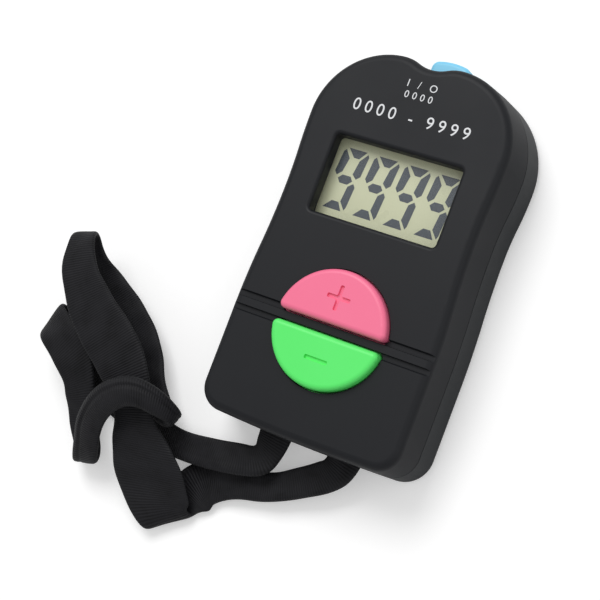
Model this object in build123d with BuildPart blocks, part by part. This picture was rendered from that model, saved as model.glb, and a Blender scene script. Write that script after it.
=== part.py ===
"""Hand-held electronic tally counter with a ribbon lanyard, lying on its back.

Origin: on the rest surface, under the middle of the housing.
+Z out of the display face, +Y towards the reset button, +X to the right, millimetres.
"""
from build123d import *
import os
from math import ceil, dist, radians, sqrt, tan

os.makedirs("parts", exist_ok=True)

# ---------------------------------------------------------------- driving dimensions
FACE_Z = 14.0             # height of the display face
PARTING_Z = 7.1           # where the two shells meet
WALL = 1.7                # side walls
FACE_WALL = 1.8           # wall behind the display face
BACK_WALL = 1.4
SEAM = 0.12               # small step that both shells show at the parting line
REVEAL_T = 0.2            # height of the groove that runs round the parting line
REVEAL_DEPTH = 0.45
FACE_EDGE_R = 1.5
BACK_EDGE_R = 1.2

FOOT_Y = -35.8            # lanyard end
FOOT_SAG = 0.6            # the foot bulges outward this much in the middle
STRAIGHT_TOP_Y = -16.5    # the sides run parallel up to here
WAIST_Y = 6.5             # narrowest place, level with the display
CROWN_SPREAD = 5.6        # half the distance between the two crowns beside the notch

BAR_Y = -15.45            # middle of the bar between the two keys
BAR_HALF = 0.7            # the bar is what is left between the key openings
RIB_HALF = 0.65
CHANNEL_HALF = 1.9        # shallow channel that the bar runs in
CHANNEL_DEPTH = 0.6
CHANNEL_SLOPE = 0.25      # how far its walls lean out
CHANNEL_REACH = 22.0      # it runs out through both sides

KEY_R = 10.6              # both keys are cut from one disc
KEY_GAP = 0.3             # clearance between a key and its opening
KEY_TOP_Z = 15.6
KEY_EDGE_R = 0.9
KEY_CORNER_R = 1.3
KEY_FLANGE = 1.1          # how far the hidden flange reaches past the key
KEY_FLANGE_Z = 11.0
KEY_FLANGE_T = 1.1
KEY_OFFSET = 5.2          # from the bar's middle to the switch under each key
SIGN_SPAN = 4.5
SIGN_STROKE = 0.75
SIGN_DEPTH = 0.45
SIGN_CORNER_R = 0.25

WINDOW_X = 12.4           # half width of the display window
WINDOW_Y0 = 3.4
WINDOW_Y1 = 17.7
WINDOW_Y = (WINDOW_Y0 + WINDOW_Y1) / 2
WINDOW_CORNER_R = 0.8
WINDOW_RIM_R = 0.7
WINDOW_SKIRT = 1.4        # frame that carries the lens behind the window
WINDOW_SKIRT_Z = 11.2
TAPE_T = 0.1
LENS_T = 0.9

BOARD_X = 15.0            # half width of the circuit board
BOARD_Y0 = -29.0
BOARD_Y1 = 29.0
BOARD_Z = 5.9
BOARD_T = 1.0
BOARD_TOP = BOARD_Z + BOARD_T
BOARD_SPOTS = [(-10.5, -26.0), (10.5, -26.0), (-8.5, 25.5), (8.5, 25.5)]
STANDOFF_R = 1.7
BOARD_SCREW_R = 0.6

SCREW_SPOTS = [(-16.4, -28.0), (16.4, -28.0), (-14.4, 24.6), (14.4, 24.6)]
SCREW_R = 0.98
SCREW_HEAD_R = 1.8
SCREW_HEAD_Z0 = 0.8
SCREW_HEAD_Z1 = 2.2
SCREW_BITE = 4.0          # depth of thread in the front shell's posts
POST_R = 2.1
BOSS_R = 2.6

DISPLAY_X = 13.5          # half width of the liquid crystal cell
DISPLAY_Y0 = 1.8
DISPLAY_Y1 = 19.4
DISPLAY_Z = 8.0
DISPLAY_TOP = 10.1
LEDGE_Y = 3.6             # the lower glass stops here and leaves the contacts free

SWITCH_X = 3.0            # half width of each tact switch
SWITCH_TOP = 10.0
SWITCH_COVER_T = 0.2
SWITCH_WELL_R = 2.35
STEM_R = 1.7
STEM_FLANGE_R = 2.1
STEM_FLANGE_Z = 9.0
STEM_FLANGE_T = 0.85
DOME_Z = 8.2
DOME_GAP = 0.02           # between a dome's crown and its stem

RESET_X = 3.75            # half width of the reset key
RESET_Z0 = 2.4            # the key sits low, in the rear shell
RESET_Z1 = 5.8
RESET_GAP = 0.2
RESET_TIP_Y = 37.1
RESET_SIDE_Y = 36.5
RESET_CORNER_R = 1.4
RESET_EDGE_R = 0.8
RESET_FLANGE_Y = 30.0
RESET_FLANGE_T = 1.0
RESET_FLANGE = 0.7
RESET_PLATE_Z1 = 10.8     # the plate behind the wall reaches up to the switch
RESET_STEM_Z = 9.2
RESET_SWITCH_Y = 25.2
RESET_SWITCH_T = 3.4
RESET_FRONT_Y = RESET_SWITCH_Y + RESET_SWITCH_T
RESET_WELL_R = 2.0
RESET_WELL_DEPTH = 1.0
RESET_STEM_R = 1.35
RESET_STEM_FLANGE_T = 1.1
RESET_TRAVEL = 0.5        # stroke of the reset key
RESET_FLANGE_FACE_Y = RESET_FRONT_Y - 1.25

CELL_R = 5.8              # button cell, 11.6 x 3.05 mm
CELL_T = 3.05
CELL_Z = 2.4
CAP_R = 8.0               # coin-slot battery cap in the back
CAP_GAP = 0.15
CAP_Z = 0.25
CAP_TOP = 2.3
LUG_R = 9.4
LUG_HALF = 1.8
CAP_TURN = 60.0           # anticlockwise from behind, until the lugs meet their notches

SLOT_X = 7.0              # lanyard slots, one each side of the bridge
SLOT_Z = 4.8
SLOT_WIDTH = 7.8
SLOT_HEIGHT = 2.6
LOOP_Y0 = -34.5           # the ribbon's stretch behind the bridge starts in the slots
LOOP_Y1 = -33.6
LOOP_Y2 = -31.6
STRAND_WIDTH = 6.8        # the ribbon is drawn in a little by the slots
RIBBON_T = 1.2

ARC_SHARE = 0.45          # how much of a run the arc at its end takes
ARC_STEP = 26.0           # degrees between the ribbon's sections on an arc
EDGE_BEVEL = 0.28         # of the thickness, on the ribbon's long edges
LEFT_END = 5              # the left strand ends in the middle of the run from here
RIGHT_START = 45          # the right strand starts in the middle of the run from here
GAP_APART = 7.0           # stretches nearer than this along the ribbon are one bend


def finish(piece, name):
    """Name a finished piece and write it."""
    piece.part.label = name
    export_step(piece.part, "parts/" + name + ".step")


# ---------------------------------------------------------------- outline of the shells
def shell_outline(half_width, waist, shoulder, crown, notch, corner_r, foot):
    """One closed outline: foot, parallel sides, waist, shoulders, two crowns, notch."""
    shoulder_y = crown - (shoulder - CROWN_SPREAD)
    side_y = foot + FOOT_SAG
    belly = ((half_width + waist) / 2, (STRAIGHT_TOP_Y + WAIST_Y) / 2)
    flare = ((waist + shoulder) / 2, (WAIST_Y + shoulder_y) / 2)
    dip = (CROWN_SPREAD / 2, (crown + notch) / 2)
    with BuildLine() as rim:
        Line((half_width, side_y), (half_width, STRAIGHT_TOP_Y))
        TangentArc((half_width, STRAIGHT_TOP_Y), belly, tangent=(0, 1))
        TangentArc((waist, WAIST_Y), belly, tangent=(0, -1))
        TangentArc((waist, WAIST_Y), flare, tangent=(0, 1))
        TangentArc((shoulder, shoulder_y), flare, tangent=(0, -1))
        TangentArc((shoulder, shoulder_y), (CROWN_SPREAD, crown), tangent=(0, 1))
        TangentArc((CROWN_SPREAD, crown), dip, tangent=(-1, 0))
        TangentArc((0, notch), dip, tangent=(1, 0))
        mirror(about=Plane.YZ)
        ThreePointArc((-half_width, side_y), (0, foot), (half_width, side_y))
    face = make_face(rim.edges())
    fillet(face.vertices().sort_by(Axis.Y)[:2], corner_r)


def back_outline():
    shell_outline(21.05, 20.3, 21.0, 34.6, 33.6, 5.5, FOOT_Y)


def parting_outline():
    shell_outline(20.75, 19.98, 20.75, 34.55, 33.5, 5.0, FOOT_Y)


def face_outline():
    shell_outline(19.5, 18.53, 18.95, 34.1, 32.95, 4.3, FOOT_Y + 0.4)


def key_half(radius, chord, side):
    """What one side of a chord leaves of a disc about the bar's middle."""
    half_chord = sqrt(radius**2 - chord**2)
    chord_y = BAR_Y + side * chord
    with BuildLine() as rim:
        ThreePointArc((-half_chord, chord_y), (0, BAR_Y + side * radius), (half_chord, chord_y))
        Line((half_chord, chord_y), (-half_chord, chord_y))
    make_face(rim.edges())


def window(margin, corner_r):
    """The display window, or a frame that stands this much outside it."""
    with Locations((0, WINDOW_Y)):
        RectangleRounded(
            2 * (WINDOW_X + margin), WINDOW_Y1 - WINDOW_Y0 + 2 * margin, corner_r
        )


# ---------------------------------------------------------------- front shell
with BuildPart() as front_shell:
    with BuildSketch(Plane.XY.offset(PARTING_Z)):
        parting_outline()
        offset(amount=-SEAM)
    with BuildSketch(Plane.XY.offset(FACE_Z)):
        face_outline()
    loft(ruled=True)
    fillet(front_shell.faces().sort_by(Axis.Z)[-1].edges(), FACE_EDGE_R)
    # the hollow inside
    with BuildSketch(Plane.XY.offset(PARTING_Z)):
        parting_outline()
        offset(amount=-WALL)
    with BuildSketch(Plane.XY.offset(FACE_Z - FACE_WALL)):
        face_outline()
        offset(amount=-WALL)
    loft(ruled=True, mode=Mode.SUBTRACT)
    # channel across the face, with the rib of the bar left standing in it
    for side in (1, -1):
        with BuildSketch(Plane.YZ):
            with BuildLine():
                Polyline(
                    (BAR_Y + side * RIB_HALF, FACE_Z),
                    (BAR_Y + side * (RIB_HALF + CHANNEL_SLOPE / 2), FACE_Z - CHANNEL_DEPTH),
                    (BAR_Y + side * (CHANNEL_HALF - CHANNEL_SLOPE), FACE_Z - CHANNEL_DEPTH),
                    (BAR_Y + side * CHANNEL_HALF, FACE_Z),
                    close=True,
                )
            make_face()
        extrude(amount=CHANNEL_REACH, both=True, mode=Mode.SUBTRACT)
    # openings for the two keys
    with BuildSketch(Plane.XY.offset(FACE_Z)) as openings:
        key_half(KEY_R + KEY_GAP, BAR_HALF, 1)
        key_half(KEY_R + KEY_GAP, BAR_HALF, -1)
        fillet(openings.vertices(), KEY_CORNER_R)
    extrude(amount=-FACE_WALL, mode=Mode.SUBTRACT)
    # skirt behind the display window, then the window through it
    with BuildSketch(Plane.XY.offset(WINDOW_SKIRT_Z)):
        window(WINDOW_SKIRT, WINDOW_CORNER_R + WINDOW_SKIRT)
    extrude(amount=FACE_Z - FACE_WALL - WINDOW_SKIRT_Z)
    with BuildSketch(Plane.XY.offset(WINDOW_SKIRT_Z)):
        window(0, WINDOW_CORNER_R)
    extrude(amount=FACE_Z - WINDOW_SKIRT_Z, mode=Mode.SUBTRACT)
    face_edges = front_shell.edges().filter_by_position(Axis.Z, FACE_Z - 0.01, FACE_Z + 0.01)
    window_rim = face_edges.filter_by_position(Axis.Y, WINDOW_Y0 - 0.1, WINDOW_Y1 + 0.1)
    fillet(window_rim.filter_by_position(Axis.X, -WINDOW_X - 0.1, WINDOW_X + 0.1), WINDOW_RIM_R)
    # posts that the case screws bite into
    with BuildSketch(Plane.XY.offset(PARTING_Z)):
        with Locations(SCREW_SPOTS):
            Circle(POST_R)
    extrude(amount=FACE_Z - FACE_WALL - PARTING_Z)
    with BuildSketch(Plane.XY.offset(PARTING_Z)):
        with Locations(SCREW_SPOTS):
            Circle(SCREW_R + 0.02)
    extrude(amount=SCREW_BITE, mode=Mode.SUBTRACT)
finish(front_shell, "front_shell")

# ---------------------------------------------------------------- rear shell
with BuildPart() as rear_shell:
    with BuildSketch(Plane.XY):
        back_outline()
    with BuildSketch(Plane.XY.offset(PARTING_Z - REVEAL_T)):
        parting_outline()
        offset(amount=-SEAM)
    loft(ruled=True)
    fillet(rear_shell.faces().sort_by(Axis.Z)[0].edges(), BACK_EDGE_R)
    with BuildSketch(Plane.XY.offset(PARTING_Z - REVEAL_T)):
        parting_outline()
        offset(amount=-REVEAL_DEPTH)
    extrude(amount=REVEAL_T)
    # the hollow inside
    with BuildSketch(Plane.XY.offset(BACK_WALL)):
        back_outline()
        offset(amount=-WALL)
    with BuildSketch(Plane.XY.offset(PARTING_Z)):
        parting_outline()
        offset(amount=-WALL)
    loft(ruled=True, mode=Mode.SUBTRACT)
    # screw bosses and board standoffs
    with BuildSketch(Plane.XY.offset(BACK_WALL)):
        with Locations(SCREW_SPOTS):
            Circle(BOSS_R)
    extrude(amount=PARTING_Z - 0.05 - BACK_WALL)
    with BuildSketch(Plane.XY.offset(BACK_WALL)):
        with Locations(BOARD_SPOTS):
            Circle(STANDOFF_R)
    extrude(amount=BOARD_Z - BACK_WALL)
    with BuildSketch(Plane.XY):
        with Locations(SCREW_SPOTS):
            Circle(SCREW_HEAD_R + 0.15)
    extrude(amount=SCREW_HEAD_Z1, mode=Mode.SUBTRACT)
    with BuildSketch(Plane.XY):
        with Locations(SCREW_SPOTS):
            Circle(SCREW_R + 0.15)
    extrude(amount=PARTING_Z, mode=Mode.SUBTRACT)
    with BuildSketch(Plane.XY.offset(BACK_WALL + 1.4)):
        with Locations(BOARD_SPOTS):
            Circle(BOARD_SCREW_R + 0.02)
    extrude(amount=BOARD_Z, mode=Mode.SUBTRACT)
    # round opening for the battery cap, with a notch for each lug
    with BuildSketch(Plane.XY):
        with Locations((0, BAR_Y)):
            Circle(CAP_R + CAP_GAP)
        with Locations(Location((0, BAR_Y, 0), -CAP_TURN)):
            Rectangle(2 * (LUG_R + 0.2), 2 * (LUG_HALF + 0.3))
    extrude(amount=BACK_WALL, mode=Mode.SUBTRACT)
    # the reset key's opening, in the notch
    with BuildSketch(Plane.XY.offset(RESET_Z0 - RESET_GAP)):
        with Locations((0, RESET_FLANGE_Y + RESET_FLANGE_T + 3)):
            Rectangle(2 * (RESET_X + RESET_GAP), 7)
    extrude(amount=RESET_Z1 - RESET_Z0 + 2 * RESET_GAP, mode=Mode.SUBTRACT)
    # two slots for the ribbon, with the bridge between them
    with BuildSketch(Plane.XZ.offset(-FOOT_Y + 1)):
        with Locations((-SLOT_X, SLOT_Z), (SLOT_X, SLOT_Z)):
            RectangleRounded(SLOT_WIDTH, SLOT_HEIGHT, 0.8)
    extrude(amount=-(WALL + 1.5), mode=Mode.SUBTRACT)
finish(rear_shell, "rear_shell")

# ---------------------------------------------------------------- display
with BuildPart() as lens_tape:
    with BuildSketch(Plane.XY.offset(WINDOW_SKIRT_Z - TAPE_T)):
        window(WINDOW_SKIRT, WINDOW_CORNER_R)
        with Locations((0, WINDOW_Y)):
            Rectangle(
                2 * WINDOW_X + 0.4, WINDOW_Y1 - WINDOW_Y0 + 0.4, mode=Mode.SUBTRACT
            )
    extrude(amount=TAPE_T)
finish(lens_tape, "lens_tape")

with BuildPart() as display_lens:
    with BuildSketch(Plane.XY.offset(WINDOW_SKIRT_Z - TAPE_T - LENS_T)):
        window(WINDOW_SKIRT, WINDOW_CORNER_R)
    extrude(amount=LENS_T)
finish(display_lens, "display_lens")

with BuildPart() as display_cell:
    with BuildSketch(Plane.XY.offset(DISPLAY_Z)):
        with Locations((0, (LEDGE_Y + DISPLAY_Y1) / 2)):
            Rectangle(2 * DISPLAY_X, DISPLAY_Y1 - LEDGE_Y)
    extrude(amount=(DISPLAY_TOP - DISPLAY_Z) / 2)
    with BuildSketch(Plane.XY.offset((DISPLAY_Z + DISPLAY_TOP) / 2)):
        with Locations((0, (DISPLAY_Y0 + DISPLAY_Y1) / 2)):
            Rectangle(2 * DISPLAY_X, DISPLAY_Y1 - DISPLAY_Y0)
    extrude(amount=(DISPLAY_TOP - DISPLAY_Z) / 2)
finish(display_cell, "display_cell")

with BuildPart() as contact_strip:
    with BuildSketch(Plane.XY.offset(BOARD_TOP)):
        with Locations((0, (DISPLAY_Y0 + LEDGE_Y) / 2)):
            Rectangle(2 * DISPLAY_X - 2, LEDGE_Y - DISPLAY_Y0 - 0.3)
    extrude(amount=(DISPLAY_Z + DISPLAY_TOP) / 2 - BOARD_TOP)
finish(contact_strip, "contact_strip")

with BuildPart() as display_frame:
    with BuildSketch(Plane.XY.offset(BOARD_TOP)):
        with Locations((0, (DISPLAY_Y0 + DISPLAY_Y1) / 2)):
            RectangleRounded(2 * DISPLAY_X + 2.6, DISPLAY_Y1 - DISPLAY_Y0 + 2.6, 1)
            Rectangle(
                2 * DISPLAY_X + 0.2, DISPLAY_Y1 - DISPLAY_Y0 + 0.2, mode=Mode.SUBTRACT
            )
    extrude(amount=DISPLAY_TOP - BOARD_TOP)
    # shelf that the glass rests on, at the end away from the contacts
    with BuildSketch(Plane.XY.offset(BOARD_TOP)):
        with Locations((0, DISPLAY_Y1 - 0.6)):
            Rectangle(2 * DISPLAY_X + 0.2, 1.4)
    extrude(amount=DISPLAY_Z - BOARD_TOP)
finish(display_frame, "display_frame")

# ---------------------------------------------------------------- circuit board
with BuildPart() as circuit_board:
    with BuildSketch(Plane.XY.offset(BOARD_Z)) as board_outline:
        with Locations((0, (BOARD_Y0 + BOARD_Y1) / 2)):
            Rectangle(2 * BOARD_X, BOARD_Y1 - BOARD_Y0)
        chamfer(board_outline.vertices().group_by(Axis.Y)[-1], 5)
        with Locations(SCREW_SPOTS):
            Circle(BOSS_R + 0.4, mode=Mode.SUBTRACT)
        with Locations(BOARD_SPOTS):
            Circle(BOARD_SCREW_R + 0.1, mode=Mode.SUBTRACT)
    extrude(amount=BOARD_T)
finish(circuit_board, "circuit_board")

with BuildPart() as chip_blob:
    with BuildSketch(Plane.XY.offset(BOARD_Z)):
        with Locations((0, 8)):
            Circle(4.4)
    extrude(amount=-1.1)
    fillet(chip_blob.edges().group_by(Axis.Z)[0], 1.0)
finish(chip_blob, "chip_blob")

with BuildPart() as chip_parts:
    with BuildSketch(Plane.XY.offset(BOARD_Z)):
        with Locations((-8, 4), (-8, 7), (8, 5), (8, 10), (-3, 16)):
            Rectangle(2.0, 1.25)
    extrude(amount=-0.7)
finish(chip_parts, "chip_parts")

# ---------------------------------------------------------------- switches under the keys
for key_name, side in (("plus", 1), ("minus", -1)):
    switch_y = BAR_Y + side * KEY_OFFSET

    with BuildPart() as switch_base:
        with BuildSketch(Plane.XY.offset(BOARD_TOP)):
            with Locations((0, switch_y)):
                Rectangle(2 * SWITCH_X, 2 * SWITCH_X)
        extrude(amount=SWITCH_TOP - BOARD_TOP)
        with BuildSketch(Plane.XY.offset(DOME_Z)):
            with Locations((0, switch_y)):
                Circle(SWITCH_WELL_R)
        extrude(amount=SWITCH_TOP, mode=Mode.SUBTRACT)
    finish(switch_base, key_name + "_switch_base")

    with BuildPart() as switch_cover:
        with BuildSketch(Plane.XY.offset(SWITCH_TOP)):
            with Locations((0, switch_y)):
                Rectangle(2 * SWITCH_X, 2 * SWITCH_X)
                Circle(STEM_R + 0.1, mode=Mode.SUBTRACT)
        extrude(amount=SWITCH_COVER_T)
    finish(switch_cover, key_name + "_switch_cover")

    with BuildPart() as snap_dome:
        crown_z = STEM_FLANGE_Z - DOME_GAP
        with BuildSketch(Plane.XZ.offset(-switch_y)):
            with BuildLine():
                Polyline(
                    (0, crown_z), (1.3, crown_z - 0.12), (2.25, DOME_Z), (1.98, DOME_Z),
                    (1.2, crown_z - 0.3), (0, crown_z - 0.17), close=True,
                )
            make_face()
        revolve(axis=Axis((0, switch_y, 0), (0, 0, 1)))
    finish(snap_dome, key_name + "_snap_dome")

    with BuildPart() as switch_stem:
        with BuildSketch(Plane.XY.offset(STEM_FLANGE_Z)):
            with Locations((0, switch_y)):
                Circle(STEM_FLANGE_R)
        extrude(amount=STEM_FLANGE_T)
        with BuildSketch(Plane.XY.offset(STEM_FLANGE_Z)):
            with Locations((0, switch_y)):
                Circle(STEM_R)
        extrude(amount=KEY_FLANGE_Z - STEM_FLANGE_Z)
    finish(switch_stem, key_name + "_switch_stem")

# ---------------------------------------------------------------- the two count keys
for key_name, side in (("plus", 1), ("minus", -1)):
    with BuildPart() as key:
        with BuildSketch(Plane.XY.offset(KEY_FLANGE_Z)) as cap:
            key_half(KEY_R, BAR_HALF + KEY_GAP, side)
            fillet(cap.vertices(), KEY_CORNER_R - KEY_GAP)
        extrude(amount=KEY_TOP_Z - KEY_FLANGE_Z)
        fillet(key.faces().sort_by(Axis.Z)[-1].edges(), KEY_EDGE_R)
        with BuildSketch(Plane.XY.offset(KEY_FLANGE_Z)):
            key_half(KEY_R + KEY_FLANGE, BAR_HALF / 2, side)
        extrude(amount=KEY_FLANGE_T)
        # the sign sunk into its top
        with BuildSketch(Plane.XY.offset(KEY_TOP_Z)) as sign:
            with Locations((0, BAR_Y + side * (KEY_OFFSET + 0.4))):
                Rectangle(SIGN_SPAN, SIGN_STROKE)
                if key_name == "plus":
                    Rectangle(SIGN_STROKE, SIGN_SPAN)
            fillet(sign.vertices(), SIGN_CORNER_R)
        extrude(amount=-SIGN_DEPTH, mode=Mode.SUBTRACT)
    finish(key, key_name + "_key")

# ---------------------------------------------------------------- reset key and its switch
with BuildPart() as reset_key:
    with BuildSketch(Plane.XY.offset(RESET_Z0)):
        with BuildLine():
            Line((-RESET_X, RESET_SIDE_Y), (-RESET_X, RESET_FLANGE_Y))
            Line((-RESET_X, RESET_FLANGE_Y), (RESET_X, RESET_FLANGE_Y))
            Line((RESET_X, RESET_FLANGE_Y), (RESET_X, RESET_SIDE_Y))
            ThreePointArc((RESET_X, RESET_SIDE_Y), (0, RESET_TIP_Y), (-RESET_X, RESET_SIDE_Y))
        make_face()
    extrude(amount=RESET_Z1 - RESET_Z0)
    tip_corners = reset_key.edges().filter_by(Axis.Z).group_by(Axis.Y)[-1]
    fillet(tip_corners, RESET_CORNER_R)
    tip = reset_key.faces().filter_by(Axis.Z).edges().filter_by_position(
        Axis.Y, RESET_FLANGE_Y + 4, RESET_TIP_Y + 1
    )
    fillet(tip, RESET_EDGE_R)
    with BuildSketch(Plane.XZ.offset(-RESET_FLANGE_Y)):
        with Locations((0, (RESET_Z0 - RESET_FLANGE + RESET_PLATE_Z1) / 2)):
            Rectangle(
                2 * (RESET_X + RESET_FLANGE), RESET_PLATE_Z1 - RESET_Z0 + RESET_FLANGE
            )
    extrude(amount=-RESET_FLANGE_T)
finish(reset_key, "reset_key")

with BuildPart() as reset_switch_base:
    with BuildSketch(Plane.XZ.offset(-RESET_SWITCH_Y)):
        with Locations((0, RESET_STEM_Z)):
            Rectangle(2 * SWITCH_X, 2 * (RESET_STEM_Z - BOARD_TOP))
    extrude(amount=-RESET_SWITCH_T)
    with BuildSketch(Plane.XZ.offset(-RESET_SWITCH_Y - RESET_WELL_DEPTH)):
        with Locations((0, RESET_STEM_Z)):
            Circle(RESET_WELL_R)
    extrude(amount=-RESET_SWITCH_T, mode=Mode.SUBTRACT)
finish(reset_switch_base, "reset_switch_base")

with BuildPart() as reset_switch_cover:
    with BuildSketch(Plane.XZ.offset(-RESET_FRONT_Y)):
        with Locations((0, RESET_STEM_Z)):
            Rectangle(2 * SWITCH_X, 2 * (RESET_STEM_Z - BOARD_TOP))
            Circle(RESET_STEM_R + 0.1, mode=Mode.SUBTRACT)
    extrude(amount=-SWITCH_COVER_T)
finish(reset_switch_cover, "reset_switch_cover")

with BuildPart() as reset_snap_dome:
    seat_y = RESET_SWITCH_Y + RESET_WELL_DEPTH
    # drawn pressed flat, so that the stem clears it over the whole stroke
    crown_y = RESET_FLANGE_FACE_Y - RESET_TRAVEL - DOME_GAP
    with BuildSketch(Plane.XY.offset(RESET_STEM_Z)):
        with BuildLine():
            Polyline(
                (0, crown_y), (1.1, crown_y - 0.12), (1.9, seat_y), (1.6, seat_y),
                (1.0, crown_y - 0.3), (0, crown_y - 0.17), close=True,
            )
        make_face()
    revolve(axis=Axis((0, 0, RESET_STEM_Z), (0, 1, 0)))
finish(reset_snap_dome, "reset_snap_dome")

with BuildPart() as reset_switch_stem:
    with BuildSketch(Plane.XZ.offset(-RESET_FLANGE_FACE_Y)):
        with Locations((0, RESET_STEM_Z)):
            Circle(RESET_STEM_R + 0.45)
    extrude(amount=-RESET_STEM_FLANGE_T)
    with BuildSketch(Plane.XZ.offset(-RESET_FLANGE_FACE_Y)):
        with Locations((0, RESET_STEM_Z)):
            Circle(RESET_STEM_R)
    extrude(amount=-(RESET_FLANGE_Y - RESET_FLANGE_FACE_Y))
finish(reset_switch_stem, "reset_switch_stem")

# ---------------------------------------------------------------- battery
with BuildPart() as button_cell:
    with BuildSketch(Plane.XY.offset(CELL_Z)):
        with Locations((0, BAR_Y)):
            Circle(CELL_R)
    extrude(amount=CELL_T - 0.3)
    fillet(button_cell.edges().group_by(Axis.Z)[-1], 0.4)
    with BuildSketch(Plane.XY.offset(CELL_Z + CELL_T - 0.3)):
        with Locations((0, BAR_Y)):
            Circle(CELL_R - 1.1)
    extrude(amount=0.3)
finish(button_cell, "button_cell")

with BuildPart() as cell_holder:
    with BuildSketch(Plane.XY.offset(BOARD_Z)):
        with Locations((0, BAR_Y)):
            Circle(CELL_R + 1.6)
            Circle(CELL_R + 0.3, mode=Mode.SUBTRACT)
        with Locations((CELL_R + 1, BAR_Y)):
            Rectangle(4, 5, mode=Mode.SUBTRACT)
    extrude(amount=-(BOARD_Z - CELL_Z - 0.3))
finish(cell_holder, "cell_holder")

with BuildPart() as negative_contact:
    with BuildSketch(Plane.XZ.offset(-(BAR_Y - 2))):
        with BuildLine():
            Polyline(
                (-5.5, BOARD_Z), (-2.5, BOARD_Z), (1.5, CELL_Z + CELL_T + 0.2), (3.5, 5.75),
                (3.5, 5.55), (1.5, CELL_Z + CELL_T), (-2.6, BOARD_Z - 0.2), (-5.5, BOARD_Z - 0.2),
                close=True,
            )
        make_face()
    extrude(amount=-4)
finish(negative_contact, "negative_contact")

with BuildPart() as positive_contact:
    with BuildSketch(Plane.XZ.offset(-(BAR_Y - 1.8))):
        with BuildLine():
            Polyline(
                (CELL_R + 0.02, CELL_Z + 0.5), (CELL_R + 0.22, CELL_Z + 0.5),
                (CELL_R + 0.22, BOARD_Z - 0.2), (CELL_R + 2.2, BOARD_Z - 0.2),
                (CELL_R + 2.2, BOARD_Z), (CELL_R + 0.02, BOARD_Z),
                close=True,
            )
        make_face()
    extrude(amount=-3.6)
finish(positive_contact, "positive_contact")

with BuildPart() as battery_cap:
    with BuildSketch(Plane.XY.offset(CAP_Z)):
        with Locations((0, BAR_Y)):
            Circle(CAP_R)
    extrude(amount=CAP_TOP - CAP_Z)
    with BuildSketch(Plane.XY.offset(BACK_WALL + 0.1)):
        with Locations((0, BAR_Y)):
            Rectangle(2 * LUG_R, 2 * LUG_HALF)
    extrude(amount=CAP_TOP - BACK_WALL - 0.1)
    with BuildSketch(Plane.XY.offset(CAP_TOP)):
        with Locations((0, BAR_Y)):
            Circle(CELL_R + 0.8)
    extrude(amount=-0.9, mode=Mode.SUBTRACT)
    # coin slot
    with BuildSketch(Plane.XY.offset(CAP_Z)):
        with Locations((0, BAR_Y)):
            SlotOverall(11, 1.7)
    extrude(amount=0.7, mode=Mode.SUBTRACT)
finish(battery_cap, "battery_cap")

# ---------------------------------------------------------------- screws
with BuildPart() as case_screws:
    with BuildSketch(Plane.XY.offset(SCREW_HEAD_Z0)):
        with Locations(SCREW_SPOTS):
            Circle(SCREW_HEAD_R)
    extrude(amount=SCREW_HEAD_Z1 - SCREW_HEAD_Z0)
    with BuildSketch(Plane.XY.offset(SCREW_HEAD_Z1)):
        with Locations(SCREW_SPOTS):
            Circle(SCREW_R)
    extrude(amount=PARTING_Z + SCREW_BITE - SCREW_HEAD_Z1 - 0.2)
    with BuildSketch(Plane.XY.offset(SCREW_HEAD_Z0)):
        with Locations(SCREW_SPOTS):
            Rectangle(2.2, 0.5)
            Rectangle(0.5, 2.2)
    extrude(amount=0.8, mode=Mode.SUBTRACT)
finish(case_screws, "case_screws")

with BuildPart() as board_screws:
    with BuildSketch(Plane.XY.offset(BOARD_TOP)):
        with Locations(BOARD_SPOTS):
            Circle(1.4)
    extrude(amount=0.8)
    with BuildSketch(Plane.XY.offset(BOARD_TOP)):
        with Locations(BOARD_SPOTS):
            Circle(BOARD_SCREW_R)
    extrude(amount=-(BOARD_TOP - BACK_WALL - 1.6))
    with BuildSketch(Plane.XY.offset(BOARD_TOP + 0.8)):
        with Locations(BOARD_SPOTS):
            Rectangle(1.7, 0.4)
            Rectangle(0.4, 1.7)
    extrude(amount=-0.5, mode=Mode.SUBTRACT)
finish(board_screws, "board_screws")


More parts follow.
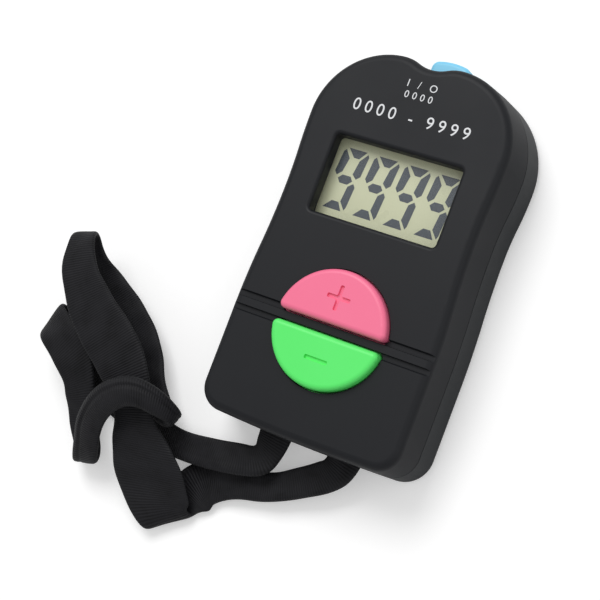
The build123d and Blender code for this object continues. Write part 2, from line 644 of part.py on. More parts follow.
# ---------------------------------------------------------------- lanyard
# One ribbon about 10 mm wide, from slot to slot: middle of the ribbon, the vector from
# there to its edge, and its thickness, which grows where it is gathered or rolled.
LANYARD = [
    # left strand, out of its slot
    ((-7.0, -34.5, 4.8), (3.4, 0.0, 0.0), 1.2),
    ((-7.0, -37.8, 4.8), (3.0, -0.4, 0.0), 1.2),
    ((-7.6, -41.0, 4.9), (2.2, -2.2, 0.3), 1.3),
    ((-12.4, -42.1, 4.8), (0.3, -2.9, 0.4), 1.4),
    ((-19.0, -43.2, 4.1), (0.1, -2.8, 0.1), 1.3),
    ((-26.0, -43.8, 2.9), (0.0, -2.6, 0.0), 1.1),
    # under the bundle
    ((-33.0, -42.8, 1.3), (0.0, -3.2, 0.0), 1.0),
    ((-40.0, -40.2, 1.1), (-0.9, -4.0, 0.0), 1.0),
    # long loop on the left, lower layer
    ((-46.5, -37.4, 1.6), (-1.8, -3.8, 0.0), 1.0),
    ((-52.5, -34.2, 2.3), (-1.7, -3.6, 0.0), 1.0),
    ((-57.2, -31.6, 3.4), (-1.3, -3.5, 0.0), 1.0),
    ((-59.2, -30.2, 6.0), (-1.1, -3.3, 0.0), 1.0),
    # its upper layer
    ((-57.2, -31.4, 8.4), (-1.2, -3.4, 0.2), 1.0),
    ((-52.4, -34.0, 8.8), (-1.7, -3.5, 0.2), 1.0),
    ((-48.6, -38.0, 7.0), (-2.6, -2.8, -0.4), 1.1),
    # gathered down the left side of the bundle
    ((-47.4, -42.6, 5.0), (-3.1, -0.9, -0.3), 1.2),
    ((-45.6, -47.4, 3.2), (-3.0, -0.6, -0.2), 1.2),
    ((-43.2, -51.4, 2.4), (-2.8, -0.8, 0.0), 1.2),
    # folded over and rolled up into the band that ties the bundle
    ((-41.9, -53.3, 4.6), (-2.5, -0.8, 0.0), 1.5),
    ((-41.2, -50.5, 7.2), (-2.7, 0.1, 0.0), 2.2),
    # over the bundle
    ((-40.9, -45.5, 10.1), (-3.0, 0.6, -0.2), 2.8),
    ((-38.2, -40.4, 12.3), (-2.4, 2.0, 0.1), 3.1),
    ((-33.0, -37.1, 13.4), (-1.1, 2.6, 0.2), 3.1),
    ((-27.8, -37.8, 11.5), (-0.3, 2.5, 0.1), 2.6),
    # down its right side
    ((-25.0, -39.2, 8.0), (0.5, 1.4, 0.0), 1.7),
    ((-28.4, -40.4, 4.8), (0.8, 1.8, 0.1), 1.3),
    # lower layer of the upper loop
    ((-33.6, -36.8, 4.2), (1.4, 2.6, 0.0), 1.1),
    ((-38.1, -31.7, 3.8), (2.4, 3.9, 0.0), 1.0),
    ((-44.5, -26.5, 3.9), (2.9, 4.0, 0.0), 1.0),
    ((-51.5, -21.3, 4.4), (3.0, 2.9, 0.0), 1.0),
    ((-56.2, -16.9, 5.8), (2.4, 1.3, 0.0), 1.0),
    # its upper layer
    ((-57.0, -13.1, 8.4), (2.3, 0.9, 0.0), 1.0),
    ((-56.0, -13.9, 11.4), (2.4, 1.0, 0.0), 1.0),
    ((-54.2, -19.5, 12.3), (3.5, 1.5, 0.2), 1.0),
    ((-48.0, -26.4, 11.8), (3.5, 3.5, 0.3), 1.0),
    ((-41.0, -31.4, 10.6), (3.4, 4.0, 0.0), 1.0),
    ((-36.2, -36.6, 9.0), (3.7, 2.6, 0.0), 1.0),
    # out from under the band and wider
    ((-34.2, -41.6, 7.7), (3.5, 0.9, 0.1), 1.0),
    ((-30.0, -46.9, 6.3), (7.0, 1.1, 0.3), 1.0),
    ((-27.8, -51.3, 4.6), (7.8, 1.0, 0.2), 1.0),
    # folded back along a slanting line
    ((-25.2, -54.9, 3.4), (6.2, 2.1, -0.2), 1.0),
    ((-23.2, -57.3, 2.7), (3.7, 2.9, -0.2), 1.0),
    ((-22.2, -57.4, 1.0), (3.6, 2.8, 0.0), 1.0),
    # under itself
    ((-21.8, -54.2, 0.8), (4.7, 0.7, 0.0), 1.0),
    ((-20.0, -50.3, 1.0), (4.3, -2.6, 0.0), 1.0),
    ((-17.4, -47.6, 1.3), (2.0, -3.6, -0.2), 1.0),
    # right strand, into its slot
    ((-12.2, -46.2, 1.9), (0.8, -2.7, 0.1), 1.3),
    ((-5.8, -45.0, 2.3), (0.8, -2.5, 0.3), 1.4),
    ((-0.4, -42.2, 3.1), (1.4, -2.4, 0.2), 1.4),
    ((4.4, -39.4, 4.1), (2.2, -2.2, 0.2), 1.3),
    ((7.0, -37.2, 4.8), (3.1, -0.9, 0.0), 1.2),
    ((7.0, -34.5, 4.8), (3.4, 0.0, 0.0), 1.2),
]
points = [Vector(*station[0]) for station in LANYARD]
half_widths = [Vector(*station[1]) for station in LANYARD]
thicknesses = [station[2] for station in LANYARD]
runs = [far - near for near, far in zip(points, points[1:])]
corners = range(1, len(runs))


def turn_at(i):
    """Degrees by which the route turns at a point."""
    return runs[i - 1].get_angle(runs[i])


def arc_reach(i):
    """Distance from a point to both ends of its arc."""
    return ARC_SHARE * min(runs[i - 1].length, runs[i].length)


def mixed(i, other, share, at, along):
    """Plane across the ribbon, its width and thickness, some way from point i to another."""
    half_width = half_widths[i] * (1 - share) + half_widths[other] * share
    thickness = thicknesses[i] * (1 - share) + thicknesses[other] * share
    normal = half_width.cross(along.cross(half_width))
    plane = Plane(origin=at, x_dir=half_width, z_dir=normal)
    return (plane, 2 * half_width.length, thickness)


def end_cut(i, at, share=0.0):
    """Section square to the run from point i to the next."""
    return mixed(i, i + 1, share, at, runs[i])


def arc_cuts(i, arc):
    """Sections along the arc at a point, its ends included."""
    steps = ceil(turn_at(i) / ARC_STEP)
    cuts = []
    for k in range(steps + 1):
        place = 2 * k / steps - 1
        if place < 0:
            other, run = i - 1, runs[i - 1]
        else:
            other, run = i + 1, runs[i]
        share = abs(place) * arc_reach(i) / run.length
        cuts.append(mixed(i, other, share, arc @ (k / steps), arc % (k / steps)))
    return cuts


def ribbon(name, cuts):
    """A stretch of ribbon through its sections, its long edges bevelled."""
    with BuildPart() as stretch:
        for plane, width, thickness in cuts:
            with BuildSketch(plane) as cut:
                Rectangle(width, thickness)
                chamfer(cut.vertices(), EDGE_BEVEL * thickness)
        loft(ruled=True)
    finish(stretch, name)
    return stretch.part.volume


radii = [arc_reach(i) / tan(radians(turn_at(i)) / 2) for i in corners]
route = FilletPolyline(*points, radius=radii)
arcs = route.edges().filter_by(GeomType.CIRCLE)
left_cut = end_cut(LEFT_END, (points[LEFT_END] + points[LEFT_END + 1]) / 2, 0.5)
right_cut = end_cut(RIGHT_START, (points[RIGHT_START] + points[RIGHT_START + 1]) / 2, 0.5)

left_cuts = [end_cut(0, points[0])]
hank_cuts = [left_cut]
right_cuts = [right_cut]
for i in corners:
    if i <= LEFT_END:
        left_cuts += arc_cuts(i, arcs[i - 1])
    elif i <= RIGHT_START:
        hank_cuts += arc_cuts(i, arcs[i - 1])
    else:
        right_cuts += arc_cuts(i, arcs[i - 1])
left_cuts.append(left_cut)
hank_cuts.append(right_cut)
right_cuts.append(end_cut(len(runs) - 1, points[-1], 1.0))

volume = ribbon("lanyard_strand_left", left_cuts)
volume += ribbon("lanyard_hank", hank_cuts)
volume += ribbon("lanyard_strand_right", right_cuts)

with BuildPart() as lanyard_bridge_loop:
    with BuildSketch(Plane.XY.offset(SLOT_Z - RIBBON_T / 2)):
        with Locations((0, (LOOP_Y0 + LOOP_Y2) / 2)):
            Rectangle(2 * SLOT_X + STRAND_WIDTH, LOOP_Y2 - LOOP_Y0)
        with Locations((0, (LOOP_Y0 + LOOP_Y1) / 2)):
            Rectangle(2 * SLOT_X - STRAND_WIDTH, LOOP_Y1 - LOOP_Y0, mode=Mode.SUBTRACT)
    extrude(amount=RIBBON_T)
finish(lanyard_bridge_loop, "lanyard_bridge_loop")

# ---------------------------------------------------------------- the ribbon's figures
all_cuts = left_cuts[:-1] + hank_cuts + right_cuts[1:]
rows = []                 # travel along the ribbon, thickness, points across its middle
travel = 0
flat_volume = 0
for (plane, width, thickness), (far_plane, far_width, far_thickness) in zip(all_cuts, all_cuts[1:]):
    step = far_plane.origin - plane.origin
    flat_volume += step.length * (width + far_width) * (thickness + far_thickness) / 4
    for k in range(ceil(step.length)):
        share = k / ceil(step.length)
        at = plane.origin + step * share
        half = plane.x_dir * width * (1 - share) / 2 + far_plane.x_dir * far_width * share / 2
        across = [tuple(at + half * (place / 6)) for place in range(-6, 7)]
        own = thickness * (1 - share) + far_thickness * share
        rows.append((travel + step.length * share, own, across))
    travel += step.length

gaps = []
for j, (near, near_thickness, near_points) in enumerate(rows):
    for far, far_thickness, far_points in rows[j + 1:]:
        if far - near > GAP_APART:
            nearest = min(dist(a, b) for a in near_points for b in far_points)
            gaps.append(nearest - (near_thickness + far_thickness) / 2)

print("ribbon length", round(route.length, 1))
print("radii", [round(radius, 1) for radius in radii])
print("turns", [round(turn_at(i)) for i in corners])
print("volume", round(volume), "section times length", round(flat_volume))
print("least gap to itself", round(min(gaps), 2))
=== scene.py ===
from math import cos, pi, sin

import bpy
from mathutils import Matrix, Vector


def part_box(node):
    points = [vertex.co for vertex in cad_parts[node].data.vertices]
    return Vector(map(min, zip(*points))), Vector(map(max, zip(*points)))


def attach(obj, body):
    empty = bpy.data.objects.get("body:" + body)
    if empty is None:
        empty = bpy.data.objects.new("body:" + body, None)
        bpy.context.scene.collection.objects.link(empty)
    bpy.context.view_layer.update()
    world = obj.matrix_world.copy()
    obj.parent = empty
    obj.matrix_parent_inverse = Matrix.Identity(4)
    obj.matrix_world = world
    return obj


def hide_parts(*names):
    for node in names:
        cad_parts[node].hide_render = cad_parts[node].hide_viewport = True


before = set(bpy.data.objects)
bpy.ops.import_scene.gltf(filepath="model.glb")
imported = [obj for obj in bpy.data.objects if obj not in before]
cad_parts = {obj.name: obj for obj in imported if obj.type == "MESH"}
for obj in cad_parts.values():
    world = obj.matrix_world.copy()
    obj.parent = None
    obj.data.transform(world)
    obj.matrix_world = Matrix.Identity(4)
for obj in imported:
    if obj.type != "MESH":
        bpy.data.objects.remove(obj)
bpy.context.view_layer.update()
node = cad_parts

# Camera. A long lens looks down on the counter from its right side, rolled
# so that the counter leans to the right.
camera_data = bpy.data.cameras.new("product_camera")
camera_data.sensor_width = 36
camera_data.lens = 95.58
camera_data.clip_start = 0.01
camera = bpy.data.objects.new("product_camera", camera_data)
bpy.context.scene.collection.objects.link(camera)
camera_right = Vector((0.84865, 0.35530, -0.39186))
camera_up = Vector((-0.29495, 0.93282, 0.20702))
camera_back = camera_right.cross(camera_up).normalized()
camera.matrix_world = Matrix.Translation((0.113299, -0.028764, 0.260570)) @ Matrix(
    (camera_right, camera_up, camera_back)
).transposed().to_4x4()
bpy.context.scene.camera = camera

# Lanyard. One woven ribbon, ten millimetres wide, matte black with fine ribs
# across it. It leaves the left slot, makes two loops, is rolled into the band
# that ties them and comes back, folded once, to the right slot.
ribbon_width = 0.010
ribbon_stations = [
    ((-0.0070, -0.0345, 0.0048), (0.0034, 0.0000, 0.0000), 0.0012),
    ((-0.0070, -0.0378, 0.0048), (0.0030, -0.0004, 0.0000), 0.0012),
    ((-0.0076, -0.0410, 0.0049), (0.0022, -0.0022, 0.0003), 0.0013),
    ((-0.0124, -0.0421, 0.0048), (0.0003, -0.0029, 0.0004), 0.0014),
    ((-0.0190, -0.0432, 0.0041), (0.0001, -0.0028, 0.0001), 0.0013),
    ((-0.0260, -0.0438, 0.0029), (0.0000, -0.0026, 0.0000), 0.0011),
    ((-0.0330, -0.0428, 0.0013), (0.0000, -0.0032, 0.0000), 0.0010),
    ((-0.0400, -0.0402, 0.0011), (-0.0009, -0.0040, 0.0000), 0.0010),
    ((-0.0465, -0.0374, 0.0016), (-0.0018, -0.0038, 0.0000), 0.0010),
    ((-0.0525, -0.0342, 0.0023), (-0.0017, -0.0036, 0.0000), 0.0010),
    ((-0.0572, -0.0316, 0.0034), (-0.0013, -0.0035, 0.0000), 0.0010),
    ((-0.0592, -0.0302, 0.0060), (-0.0011, -0.0033, 0.0000), 0.0010),
    ((-0.0572, -0.0314, 0.0084), (-0.0012, -0.0034, 0.0002), 0.0010),
    ((-0.0524, -0.0340, 0.0088), (-0.0017, -0.0035, 0.0002), 0.0010),
    ((-0.0486, -0.0380, 0.0070), (-0.0026, -0.0028, -0.0004), 0.0011),
    ((-0.0474, -0.0426, 0.0050), (-0.0031, -0.0009, -0.0003), 0.0012),
    ((-0.0456, -0.0474, 0.0032), (-0.0030, -0.0006, -0.0002), 0.0012),
    ((-0.0432, -0.0514, 0.0024), (-0.0028, -0.0008, 0.0000), 0.0012),
    ((-0.0419, -0.0533, 0.0046), (-0.0025, -0.0008, 0.0000), 0.0015),
    ((-0.0412, -0.0505, 0.0072), (-0.0027, 0.0001, 0.0000), 0.0022),
    ((-0.0409, -0.0455, 0.0101), (-0.0030, 0.0006, -0.0002), 0.0028),
    ((-0.0382, -0.0404, 0.0123), (-0.0024, 0.0020, 0.0001), 0.0031),
    ((-0.0330, -0.0371, 0.0134), (-0.0011, 0.0026, 0.0002), 0.0031),
    ((-0.0278, -0.0378, 0.0115), (-0.0003, 0.0025, 0.0001), 0.0026),
    ((-0.0250, -0.0392, 0.0080), (0.0005, 0.0014, 0.0000), 0.0017),
    ((-0.0284, -0.0404, 0.0048), (0.0008, 0.0018, 0.0001), 0.0013),
    ((-0.0336, -0.0368, 0.0042), (0.0014, 0.0026, 0.0000), 0.0011),
    ((-0.0381, -0.0317, 0.0038), (0.0024, 0.0039, 0.0000), 0.0010),
    ((-0.0445, -0.0265, 0.0039), (0.0029, 0.0040, 0.0000), 0.0010),
    ((-0.0515, -0.0213, 0.0044), (0.0030, 0.0029, 0.0000), 0.0010),
    ((-0.0562, -0.0169, 0.0058), (0.0024, 0.0013, 0.0000), 0.0010),
    ((-0.0570, -0.0131, 0.0084), (0.0023, 0.0009, 0.0000), 0.0010),
    ((-0.0560, -0.0139, 0.0114), (0.0024, 0.0010, 0.0000), 0.0010),
    ((-0.0542, -0.0195, 0.0123), (0.0035, 0.0015, 0.0002), 0.0010),
    ((-0.0480, -0.0264, 0.0118), (0.0035, 0.0035, 0.0003), 0.0010),
    ((-0.0410, -0.0314, 0.0106), (0.0034, 0.0040, 0.0000), 0.0010),
    ((-0.0362, -0.0366, 0.0090), (0.0037, 0.0026, 0.0000), 0.0010),
    ((-0.0342, -0.0416, 0.0077), (0.0035, 0.0009, 0.0001), 0.0010),
    ((-0.0300, -0.0469, 0.0063), (0.0070, 0.0011, 0.0003), 0.0010),
    ((-0.0278, -0.0513, 0.0046), (0.0078, 0.0010, 0.0002), 0.0010),
    ((-0.0252, -0.0549, 0.0034), (0.0062, 0.0021, -0.0002), 0.0010),
    ((-0.0232, -0.0573, 0.0027), (0.0037, 0.0029, -0.0002), 0.0010),
    ((-0.0222, -0.0574, 0.0010), (0.0036, 0.0028, 0.0000), 0.0010),
    ((-0.0218, -0.0542, 0.0008), (0.0047, 0.0007, 0.0000), 0.0010),
    ((-0.0200, -0.0503, 0.0010), (0.0043, -0.0026, 0.0000), 0.0010),
    ((-0.0174, -0.0476, 0.0013), (0.0020, -0.0036, -0.0002), 0.0010),
    ((-0.0122, -0.0462, 0.0019), (0.0008, -0.0027, 0.0001), 0.0013),
    ((-0.0058, -0.0450, 0.0023), (0.0008, -0.0025, 0.0003), 0.0014),
    ((-0.0004, -0.0422, 0.0031), (0.0014, -0.0024, 0.0002), 0.0014),
    ((0.0044, -0.0394, 0.0041), (0.0022, -0.0022, 0.0002), 0.0013),
    ((0.0070, -0.0372, 0.0048), (0.0031, -0.0009, 0.0000), 0.0012),
    ((0.0070, -0.0345, 0.0048), (0.0034, 0.0000, 0.0000), 0.0012),
]


def smooth_line(name, points):
    """The smooth open line that has these points as its control points."""
    curve = bpy.data.curves.new(name, "CURVE")
    curve.dimensions = "3D"
    curve.resolution_u = 8
    spline = curve.splines.new("NURBS")
    spline.points.add(len(points) - 1)
    for spline_point, place in zip(spline.points, points):
        spline_point.co = (*place, 1)
    spline.order_u = 3
    spline.use_endpoint_u = True
    line = bpy.data.objects.new(name, curve)
    bpy.context.scene.collection.objects.link(line)
    mesh = bpy.data.meshes.new_from_object(line)
    places = [vertex.co.copy() for vertex in mesh.vertices]
    bpy.data.objects.remove(line)
    bpy.data.curves.remove(curve)
    bpy.data.meshes.remove(mesh)
    return places


def ribbon_mesh(name, stations, columns=26):
    """A closed ribbon along its stations, with its length and width as its UV map."""
    middle = smooth_line("ribbon_middle", [Vector(at) for at, half, thick in stations])
    edge = smooth_line("ribbon_edge", [Vector(at) + Vector(half) for at, half, thick in stations])
    last = len(middle) - 1
    flat_thickness = 0.0012
    ripple_height = 0.00012
    ripple_turns = 900
    crease_depth = 0.00035
    crease_place = 0.35
    crease_width = 0.1
    vertices = []
    lengths = []
    travel = 0
    for j, at in enumerate(middle):
        ahead = middle[min(j + 1, last)]
        behind = middle[max(j - 1, 0)]
        travel += (at - behind).length
        lengths.append(travel)
        place = min(max(j / last * (len(stations) - 2) + 0.5, 0), len(stations) - 1.001)
        share = place - int(place)
        thick = stations[int(place)][2] * (1 - share) + stations[int(place) + 1][2] * share
        half = edge[j] - at
        normal = (ahead - behind).cross(half).normalized()
        rolled = min(max((thick - flat_thickness) / flat_thickness, 0), 1)
        squareness = 9 - 6.6 * rolled
        for k in range(2 * columns):
            upper = k < columns
            across = -cos(pi * (k % columns + 0.5) / columns)
            if not upper:
                across = -across
            bulge = (1 - abs(across) ** squareness) ** (1 / 2)
            lift = thick / 2 * bulge * (1 if upper else -1)
            ripple = ripple_height * sin(travel * ripple_turns + 2.2 * across) * (1 - rolled)
            crease = 0.0
            if upper:
                off_crease = (across - crease_place) / crease_width
                crease = -crease_depth * rolled * 2.718 ** (-(off_crease**2))
            vertices.append(at + half * across + normal * (lift + ripple + crease))
    rows = 2 * columns
    faces = []
    for j in range(last):
        near = j * rows
        far = near + rows
        for k in range(rows):
            beside = (k + 1) % rows
            faces.append((near + k, near + beside, far + beside, far + k))
    faces.append(tuple(reversed(range(rows))))
    faces.append(tuple(last * rows + k for k in range(rows)))
    mesh = bpy.data.meshes.new(name)
    mesh.from_pydata(vertices, [], faces)
    weave = mesh.uv_layers.new(name="weave")
    for polygon in mesh.polygons:
        for loop in polygon.loop_indices:
            vertex = mesh.loops[loop].vertex_index
            j, k = divmod(vertex, rows)
            across = -cos(pi * (k % columns + 0.5) / columns) * (1 if k < columns else -1)
            weave.data[loop].uv = (across * ribbon_width / 2, lengths[j])
    piece = bpy.data.objects.new(name, mesh)
    bpy.context.scene.collection.objects.link(piece)
    bpy.ops.object.select_all(action="DESELECT")
    bpy.context.view_layer.objects.active = piece
    piece.select_set(True)
    bpy.ops.object.mode_set(mode="EDIT")
    bpy.ops.mesh.select_all(action="SELECT")
    bpy.ops.mesh.normals_make_consistent(inside=False)
    bpy.ops.object.mode_set(mode="OBJECT")
    bpy.ops.object.shade_smooth_by_angle(angle=0.9)
    return piece, middle


def new_finish(name, color, roughness):
    """A material with its own Principled shader, and its node tree."""
    finish = bpy.data.materials.new(name)
    finish.use_nodes = True
    shader = finish.node_tree.nodes["Principled BSDF"]
    shader.inputs["Base Color"].default_value = (*color, 1)
    shader.inputs["Roughness"].default_value = roughness
    return finish, finish.node_tree, shader


def add_node(tree, kind, **values):
    """A node with its input sockets set by name."""
    made = tree.nodes.new(kind)
    for socket, value in values.items():
        made.inputs[socket.replace("_", " ")].default_value = value
    return made


def dress(finish, *pieces):
    """Give pieces one finish all over."""
    for piece in pieces:
        piece.data.materials.clear()
        piece.data.materials.append(finish)


lanyard, lanyard_line = ribbon_mesh("lanyard_ribbon", ribbon_stations)

ribbon_finish, tree, shader = new_finish("black_woven_ribbon", (0.008, 0.008, 0.010), 0.58)
shader.inputs["Sheen Weight"].default_value = 0.03
shader.inputs["Sheen Roughness"].default_value = 0.45
shader.inputs["Specular IOR Level"].default_value = 0.2
uv = tree.nodes.new("ShaderNodeUVMap")
uv.uv_map = "weave"
ribs = add_node(tree, "ShaderNodeTexWave", Scale=700.0, Distortion=0.6, Detail=1.0)
ribs.bands_direction = "Y"
threads = add_node(tree, "ShaderNodeTexNoise", Scale=5200.0, Detail=2.0)
patches = add_node(tree, "ShaderNodeTexNoise", Scale=260.0, Detail=3.0)
height = tree.nodes.new("ShaderNodeMath")
height.operation = "MULTIPLY_ADD"
height.inputs[1].default_value = 0.4
shade = tree.nodes.new("ShaderNodeValToRGB")
shade.color_ramp.elements[0].position = 0.3
shade.color_ramp.elements[0].color = (0.002, 0.002, 0.0026, 1)
shade.color_ramp.elements[1].position = 0.75
shade.color_ramp.elements[1].color = (0.012, 0.012, 0.0145, 1)
mix = tree.nodes.new("ShaderNodeMath")
mix.operation = "MULTIPLY_ADD"
mix.inputs[1].default_value = 0.35
bump = add_node(tree, "ShaderNodeBump", Strength=0.5, Distance=0.00012)
for texture in (ribs, threads, patches):
    tree.links.new(uv.outputs["UV"], texture.inputs["Vector"])
tree.links.new(threads.outputs["Fac"], height.inputs[0])
tree.links.new(ribs.outputs["Fac"], height.inputs[2])
tree.links.new(height.outputs["Value"], bump.inputs["Height"])
tree.links.new(bump.outputs["Normal"], shader.inputs["Normal"])
tree.links.new(ribs.outputs["Fac"], mix.inputs[0])
tree.links.new(patches.outputs["Fac"], mix.inputs[2])
tree.links.new(mix.outputs["Value"], shade.inputs["Fac"])
tree.links.new(shade.outputs["Color"], shader.inputs["Base Color"])
behind_bridge = ribbon_mesh("lanyard_behind_bridge", [
    ((-0.0070, -0.0345, 0.0048), (0.0034, 0.0000, 0.0000), 0.0011),
    ((-0.0070, -0.0335, 0.0048), (0.0030, -0.0006, 0.0000), 0.0011),
    ((-0.0050, -0.0327, 0.0048), (0.0008, -0.0010, 0.0000), 0.0011),
    ((0.0000, -0.0326, 0.0048), (0.0000, -0.0010, 0.0000), 0.0011),
    ((0.0050, -0.0327, 0.0048), (-0.0008, -0.0010, 0.0000), 0.0011),
    ((0.0070, -0.0335, 0.0048), (-0.0030, -0.0006, 0.0000), 0.0011),
    ((0.0070, -0.0345, 0.0048), (-0.0034, 0.0000, 0.0000), 0.0011),
])[0]
dress(ribbon_finish, lanyard, behind_bridge)
for piece in (lanyard, behind_bridge):
    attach(piece, "case_body")
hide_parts("lanyard_bridge_loop")
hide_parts("lanyard_strand_left", "lanyard_hank", "lanyard_strand_right")

# Front and rear shells. Two halves of charcoal plastic, moulded with a fine
# even grain and handled smooth, which meet at a thin dark line all round.
def moulded_grain():
    """Shared relief of a moulded surface, and its soft cloudy variation."""
    group = bpy.data.node_groups.new("moulded_grain", "ShaderNodeTree")
    group.interface.new_socket("Grain Scale", in_out="INPUT", socket_type="NodeSocketFloat")
    group.interface.new_socket("Cloud Scale", in_out="INPUT", socket_type="NodeSocketFloat")
    group.interface.new_socket("Height", in_out="OUTPUT", socket_type="NodeSocketFloat")
    group.interface.new_socket("Cloud", in_out="OUTPUT", socket_type="NodeSocketFloat")
    given = group.nodes.new("NodeGroupInput")
    result = group.nodes.new("NodeGroupOutput")
    place = group.nodes.new("ShaderNodeTexCoord")
    grain = add_node(group, "ShaderNodeTexNoise", Detail=3.0, Roughness=0.6)
    cloud = add_node(group, "ShaderNodeTexNoise", Detail=4.0, Roughness=0.55)
    for texture, scale, output in (
        (grain, "Grain Scale", "Height"),
        (cloud, "Cloud Scale", "Cloud"),
    ):
        group.links.new(place.outputs["Object"], texture.inputs["Vector"])
        group.links.new(given.outputs[scale], texture.inputs["Scale"])
        group.links.new(texture.outputs["Fac"], result.inputs[output])
    return group


grain_group = moulded_grain()


def moulded_finish(
    name, dark, light, roughness, grain_scale=5200.0, relief=0.00002, cloud_scale=55.0
):
    """Plastic whose colour and gloss drift a little, with a fine moulded grain."""
    finish, tree, shader = new_finish(name, dark, roughness)
    grain = tree.nodes.new("ShaderNodeGroup")
    grain.node_tree = grain_group
    grain.inputs["Grain Scale"].default_value = grain_scale
    grain.inputs["Cloud Scale"].default_value = cloud_scale
    color = tree.nodes.new("ShaderNodeMix")
    color.data_type = "RGBA"
    color.inputs["A"].default_value = (*dark, 1)
    color.inputs["B"].default_value = (*light, 1)
    gloss = add_node(tree, "ShaderNodeMapRange")
    gloss.inputs["From Min"].default_value = 0.3
    gloss.inputs["From Max"].default_value = 0.7
    gloss.inputs["To Min"].default_value = roughness - 0.05
    gloss.inputs["To Max"].default_value = roughness + 0.05
    bump = add_node(tree, "ShaderNodeBump", Strength=0.6, Distance=relief)
    tree.links.new(grain.outputs["Height"], bump.inputs["Height"])
    tree.links.new(bump.outputs["Normal"], shader.inputs["Normal"])
    tree.links.new(grain.outputs["Cloud"], color.inputs["Factor"])
    tree.links.new(grain.outputs["Cloud"], gloss.inputs["Value"])
    tree.links.new(gloss.outputs["Result"], shader.inputs["Roughness"])
    tree.links.new(color.outputs["Result"], shader.inputs["Base Color"])
    return finish, tree, shader


charcoal, tree, shader = moulded_finish(
    "charcoal_plastic", (0.0070, 0.0078, 0.0102), (0.0098, 0.0108, 0.0136), 0.50
)
shader.inputs["Specular IOR Level"].default_value = 0.28
dress(charcoal, node["front_shell"])
charcoal_rear, tree, shader = moulded_finish(
    "charcoal_plastic_rear", (0.0095, 0.0115, 0.0140), (0.0125, 0.0150, 0.0175), 0.52
)
shader.inputs["Specular IOR Level"].default_value = 0.35
dress(charcoal_rear, node["rear_shell"], node["battery_cap"])

# Display. A liquid crystal cell behind a clear cover: grey-green polariser and
# four seven-segment figures, each lit segment a thin dark film on the glass.
glass_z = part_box("display_cell")[1].z
figure_pitch = 0.0061
first_figure_x = -0.0096
figure_y = 0.01075
figure_middles = [(first_figure_x + figure_pitch * place, figure_y) for place in range(4)]
segments = {  # millimetres from the middle of a figure
    "top": [(-1.3, 5.7), (2.35, 5.7), (1.25, 4.15), (0.2, 4.15)],
    "upper_left": [
        (-1.7, 5.35), (-2.1, 4.9), (-2.4, 1.1), (-1.85, 0.45), (-1.0, 1.25), (-0.55, 3.85),
    ],
    "upper_right": [(2.7, 5.35), (3.0, 4.85), (2.7, 1.15), (2.0, 0.5), (1.1, 1.25), (1.5, 3.85)],
    "middle": [(-1.4, 0), (-0.7, 0.75), (0.9, 0.75), (1.5, 0), (0.75, -0.8), (-0.8, -0.8)],
    "lower_right": [
        (1.9, -0.35), (2.4, -0.95), (2.15, -4.75), (1.9, -5.35), (0.7, -3.95), (1.0, -1.1),
    ],
    "bottom": [(-0.95, -4.15), (0.4, -4.15), (1.4, -5.65), (-2.3, -5.65)],
}


def flat_piece(name, outlines, z, thickness):
    """Thin flat shapes as one solid piece, standing on a height."""
    curve = bpy.data.curves.new(name, "CURVE")
    curve.dimensions = "2D"
    curve.fill_mode = "BOTH"
    curve.extrude = thickness / 2
    for outline in outlines:
        spline = curve.splines.new("POLY")
        spline.points.add(len(outline) - 1)
        for spline_point, (x, y) in zip(spline.points, outline):
            spline_point.co = (x, y, 0, 1)
        spline.use_cyclic_u = True
    piece = bpy.data.objects.new(name, curve)
    bpy.context.scene.collection.objects.link(piece)
    piece.location.z = z + thickness / 2
    return settle(piece)


def settle(piece):
    """Make a curve or text a mesh and put its place into that mesh."""
    bpy.ops.object.select_all(action="DESELECT")
    piece.select_set(True)
    bpy.context.view_layer.objects.active = piece
    bpy.ops.object.convert(target="MESH")
    bpy.ops.object.transform_apply(location=True, rotation=True, scale=True)
    bpy.ops.object.mode_set(mode="EDIT")
    bpy.ops.mesh.select_all(action="SELECT")
    bpy.ops.mesh.remove_doubles(threshold=0.000001)
    bpy.ops.mesh.normals_make_consistent(inside=False)
    bpy.ops.object.mode_set(mode="OBJECT")
    return bpy.context.view_layer.objects.active


figures = flat_piece(
    "display_figures",
    [
        [(middle[0] + x / 1000, middle[1] + y / 1000) for x, y in segment]
        for middle in figure_middles
        for segment in segments.values()
    ],
    glass_z, 0.00002,
)
figure_film, tree, shader = moulded_finish(
    "liquid_crystal_dark", (0.026, 0.040, 0.058), (0.036, 0.050, 0.070), 0.35, cloud_scale=300.0
)
dress(figure_film, figures)
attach(figures, "case_body")

polariser, tree, shader = moulded_finish(
    "display_polariser", (0.58, 0.60, 0.39), (0.64, 0.66, 0.45), 0.3, cloud_scale=120.0
)
dress(polariser, node["display_cell"])

clear_cover, tree, shader = moulded_finish(
    "clear_cover", (0.85, 0.88, 0.86), (0.9, 0.92, 0.9), 0.08, relief=0.000001
)
shader.inputs["Alpha"].default_value = 0.025
dress(clear_cover, node["display_lens"])

# Count keys. Two half discs of satin plastic, pink for plus and green for
# minus, the sign sunk in each; both are tinted through and slightly waxy, but their finishes here
# are opaque.
pink, tree, shader = moulded_finish(
    "pink_plastic", (0.98, 0.175, 0.32), (1.0, 0.205, 0.35), 0.42, relief=0.00001
)
dress(pink, node["plus_key"])
green, tree, shader = moulded_finish(
    "green_plastic", (0.095, 0.90, 0.15), (0.12, 0.94, 0.18), 0.42, relief=0.00001
)
dress(green, node["minus_key"])

# Reset key. A light blue rounded key in the notch at the top edge.
blue, tree, shader = moulded_finish(
    "light_blue_plastic", (0.20, 0.66, 0.95), (0.26, 0.71, 0.97), 0.4, relief=0.00001
)
dress(blue, node["reset_key"])

# Marks. White print on the face: the counting range in place of a title, and
# plain on, off and zero marks beside the reset key.
face_z = 0.014
print_thickness = 0.00002


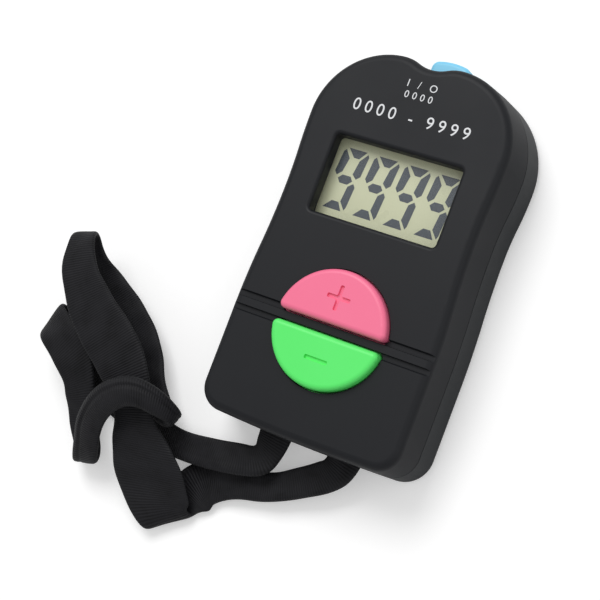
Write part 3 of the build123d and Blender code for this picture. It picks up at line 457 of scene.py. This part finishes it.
def printed_text(name, words, middle, size, spacing):
    """A line of printed figures centred on a point of the face."""
    text = bpy.data.curves.new(name, "FONT")
    text.body = words
    text.size = size
    text.space_character = spacing
    text.align_x = "CENTER"
    text.align_y = "CENTER"
    text.extrude = print_thickness / 2
    piece = bpy.data.objects.new(name, text)
    bpy.context.scene.collection.objects.link(piece)
    piece.location = (*middle, face_z + print_thickness / 2)
    return settle(piece)


white_print, tree, shader = moulded_finish(
    "white_print", (0.72, 0.73, 0.75), (0.80, 0.81, 0.83), 0.5, cloud_scale=900.0
)
for mark in (
    printed_text("range_print", "0000 - 9999", (0.0, 0.0235), 0.0031, 1.5),
    printed_text("switch_print", "I / O", (-0.0001, 0.0295), 0.0019, 1.6),
    printed_text("zero_print", "0000", (-0.0001, 0.0275), 0.0018, 1.7),
):
    dress(white_print, mark)
    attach(mark, "case_body")

# Inside. Board, switches, display holder, cell and contacts, none of them
# seen until the shells come off, each in the finish such a piece has.
for name, dark, light, rough, metal, members in (
    ("board_mask", (0.02, 0.13, 0.05), (0.03, 0.18, 0.07), 0.35, 0.0, ("circuit_board",)),
    (
        "black_epoxy", (0.012, 0.012, 0.012), (0.02, 0.02, 0.02), 0.25, 0.0,
        ("chip_blob", "chip_parts"),
    ),
    ("grey_rubber", (0.30, 0.22, 0.24), (0.38, 0.28, 0.30), 0.7, 0.0, ("contact_strip",)),
    ("black_tape", (0.015, 0.015, 0.015), (0.025, 0.025, 0.025), 0.6, 0.0, ("lens_tape",)),
    (
        "natural_plastic", (0.45, 0.44, 0.40), (0.55, 0.54, 0.50), 0.5, 0.0,
        (
            "display_frame", "cell_holder", "plus_switch_base", "minus_switch_base",
            "reset_switch_base", "plus_switch_stem", "minus_switch_stem", "reset_switch_stem",
        ),
    ),
    (
        "plated_steel", (0.50, 0.50, 0.49), (0.62, 0.62, 0.60), 0.3, 1.0,
        (
            "plus_switch_cover", "minus_switch_cover", "reset_switch_cover", "plus_snap_dome",
            "minus_snap_dome", "reset_snap_dome", "button_cell", "case_screws", "board_screws",
        ),
    ),
    (
        "plated_brass", (0.60, 0.47, 0.22), (0.70, 0.56, 0.28), 0.3, 1.0,
        ("negative_contact", "positive_contact"),
    ),
):
    inner, tree, shader = moulded_finish(name, dark, light, rough)
    shader.inputs["Metallic"].default_value = metal
    dress(inner, *[node[member] for member in members])

# Setting. A white table top that keeps the counter's soft shadow, a large soft
# lamp from the upper left and an even white room.
bpy.ops.mesh.primitive_plane_add(size=4, location=(0, 0, -0.0002))
floor = bpy.context.active_object
floor.name = "table_top"
bpy.ops.object.transform_apply(location=True, rotation=True, scale=True)
floor_finish, tree, shader = new_finish("white_table", (0.86, 0.86, 0.86), 0.7)
shader.inputs["Specular IOR Level"].default_value = 0.1
ray = tree.nodes.new("ShaderNodeLightPath")
brighten = tree.nodes.new("ShaderNodeEmission")
brighten.inputs["Color"].default_value = (1, 1, 1, 1)
brighten.inputs["Strength"].default_value = 0.32
add = tree.nodes.new("ShaderNodeAddShader")
choose = tree.nodes.new("ShaderNodeMixShader")
tree.links.new(shader.outputs["BSDF"], add.inputs[0])
tree.links.new(brighten.outputs["Emission"], add.inputs[1])
tree.links.new(ray.outputs["Is Camera Ray"], choose.inputs["Fac"])
tree.links.new(shader.outputs["BSDF"], choose.inputs[1])
tree.links.new(add.outputs["Shader"], choose.inputs[2])
tree.links.new(choose.outputs["Shader"], tree.nodes["Material Output"].inputs["Surface"])
dress(floor_finish, floor)

for name, place, size, power in (
    ("key_lamp", (-0.20, 0.38, 0.60), 0.40, 2.7),
    ("fill_lamp", (0.50, 0.10, 0.50), 0.50, 0.5),
):
    lamp_data = bpy.data.lights.new(name, "AREA")
    lamp_data.shape = "SQUARE"
    lamp_data.size = size
    lamp_data.energy = power
    lamp = bpy.data.objects.new(name, lamp_data)
    bpy.context.scene.collection.objects.link(lamp)
    lamp.location = place
    lamp.rotation_euler = (-Vector(place)).to_track_quat("-Z", "Y").to_euler()

world = bpy.data.worlds.new("white_room")
bpy.context.scene.world = world
world.use_nodes = True
world.node_tree.nodes["Background"].inputs["Color"].default_value = (1, 1, 1, 1)
world.node_tree.nodes["Background"].inputs["Strength"].default_value = 0.50
bpy.context.scene.view_settings.view_transform = "Standard"
